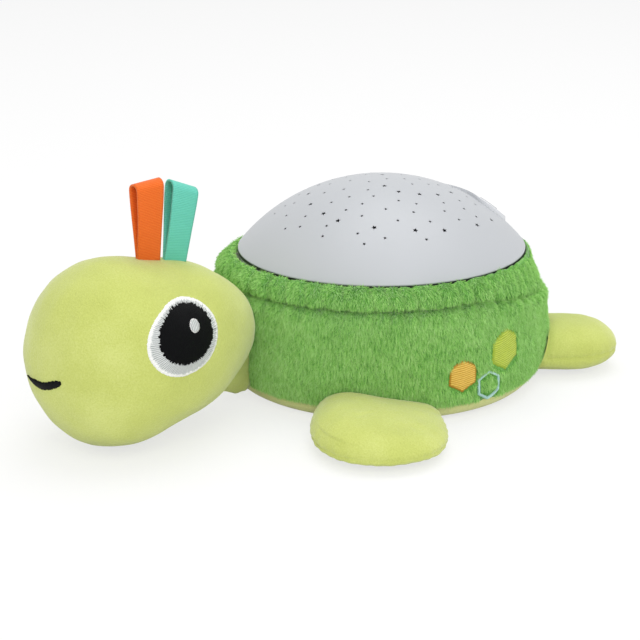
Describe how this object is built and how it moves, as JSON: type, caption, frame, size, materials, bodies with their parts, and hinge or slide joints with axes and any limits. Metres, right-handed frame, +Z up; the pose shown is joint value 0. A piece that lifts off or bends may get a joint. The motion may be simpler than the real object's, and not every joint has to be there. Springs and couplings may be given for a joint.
{
  "type": "plush night light",
  "caption": "Plush turtle night light whose lift-out dome casts stars through star-shaped holes, with a gathered elastic collar and ribbon loops.",
  "frame": {"origin": "on the dome axis, at floor level, the plane of the flat belly panel", "axes": "+Z up along the dome axis, the head points to -Y, the turtle's left side is +X"},
  "size_m": [0.221, 0.2887, 0.1173],
  "materials": {
    "lime_plush": "short pile",
    "green_plush": "long pile",
    "fibre_fill": "loose fibre",
    "white_thread": "satin stitch",
    "black_thread": "satin stitch",
    "orange_thread": "satin stitch",
    "lime_thread": "satin stitch",
    "blue_thread": "satin stitch",
    "orange_ribbon": "ribbed weave",
    "teal_ribbon": "ribbed weave",
    "elastic": "woven elastic",
    "lining_cloth": "smooth weave",
    "grey_plastic": "satin",
    "pad_plastic": "satin",
    "key_plastic": "satin",
    "circuit_board": "solder mask",
    "black_plastic": "matte",
    "dark_plastic": "matte",
    "white_plastic": "matte",
    "housing_plastic": "satin",
    "ribbon_cable": "satin",
    "steel": "zinc plated",
    "spring_steel": "nickel plated",
    "black_rubber": "matte",
    "lead_cover": "satin",
    "cell_case": "gloss",
    "red_lens": "clear",
    "green_lens": "clear",
    "blue_lens": "clear"
  },
  "bodies": {
    "plush": {"head": "lime_plush", "head_stuffing": "fibre_fill", "eye_whites": "white_thread", "eye_pupils": "black_thread", "eye_highlights": "white_thread", "mouth_stitch": "black_thread", "ribbon_orange": "orange_ribbon", "ribbon_teal": "teal_ribbon", "shell_wall": "green_plush", "gathered_collar": "green_plush", "elastic_band": "elastic", "wall_stuffing": "fibre_fill", "pocket_lining": "lining_cloth", "belly_panel": "lime_plush", "patch_orange": "orange_thread", "patch_lime": "lime_thread", "patch_outline": "blue_thread"},
    "front_left": {"front_left_flipper": "lime_plush", "front_left_stuffing": "fibre_fill"},
    "front_right": {"front_right_flipper": "lime_plush", "front_right_stuffing": "fibre_fill"},
    "rear_left": {"rear_left_foot": "lime_plush", "rear_left_stuffing": "fibre_fill"},
    "rear_right": {"rear_right_foot": "lime_plush", "rear_right_stuffing": "fibre_fill"},
    "projector": {"star_dome": "grey_plastic", "control_pad": "pad_plastic", "button_board": "circuit_board", "tact_switches": "black_plastic", "board_screws": "steel", "button_cable": "ribbon_cable", "base_housing": "housing_plastic", "housing_screws": "steel", "rubber_feet": "black_rubber", "inner_deck": "dark_plastic", "main_board": "circuit_board", "board_parts": "black_plastic", "light_tower": "white_plastic", "lamp_board": "white_plastic", "lamp_red": "red_lens", "lamp_green": "green_lens", "lamp_blue": "blue_lens", "batteries": "cell_case", "battery_springs": "spring_steel", "battery_contacts": "spring_steel", "battery_leads": "lead_cover"},
    "power_key": {"power_button": "key_plastic"},
    "color_key": {"color_button": "key_plastic"},
    "timer_key": {"timer_button": "key_plastic"},
    "door": {"battery_door": "housing_plastic", "door_screw": "steel"}
  },
  "joints": [
    {"name": "projector_lift", "type": "slide", "parent": "plush", "child": "projector", "axis": [0, 0, 1], "range_m": [0, 0.11]},
    {"name": "power_press", "type": "slide", "parent": "projector", "child": "power_key", "axis": [0, -0.6116, -0.7912], "range_m": [0, 0.0008], "stiffness_N_per_m": 1500},
    {"name": "color_press", "type": "slide", "parent": "projector", "child": "color_key", "axis": [0, -0.6116, -0.7912], "range_m": [0, 0.0008], "stiffness_N_per_m": 1500},
    {"name": "timer_press", "type": "slide", "parent": "projector", "child": "timer_key", "axis": [0, -0.6116, -0.7912], "range_m": [0, 0.0008], "stiffness_N_per_m": 1500},
    {"name": "battery_door_swing", "type": "hinge", "parent": "projector", "child": "door", "pos_m": [0, -0.02875, 0.00275], "axis": [-1, 0, 0], "range_deg": [0, 70]},
    {"name": "front_left_flex", "type": "hinge", "parent": "plush", "child": "front_left", "pos_m": [0.06411, -0.05192, 0.0223], "axis": [-0.6293, -0.7771, 0], "range_deg": [0, 20]},
    {"name": "front_right_flex", "type": "hinge", "parent": "plush", "child": "front_right", "pos_m": [-0.06411, -0.05192, 0.0223], "axis": [-0.6293, 0.7771, 0], "range_deg": [0, 20]},
    {"name": "rear_left_flex", "type": "hinge", "parent": "plush", "child": "rear_left", "pos_m": [0.04965, 0.06589, 0.0248], "axis": [0.7986, -0.6018, 0], "range_deg": [0, 20]},
    {"name": "rear_right_flex", "type": "hinge", "parent": "plush", "child": "rear_right", "pos_m": [-0.04965, 0.06589, 0.0248], "axis": [0.7986, 0.6018, 0], "range_deg": [0, 20]}
  ]
}
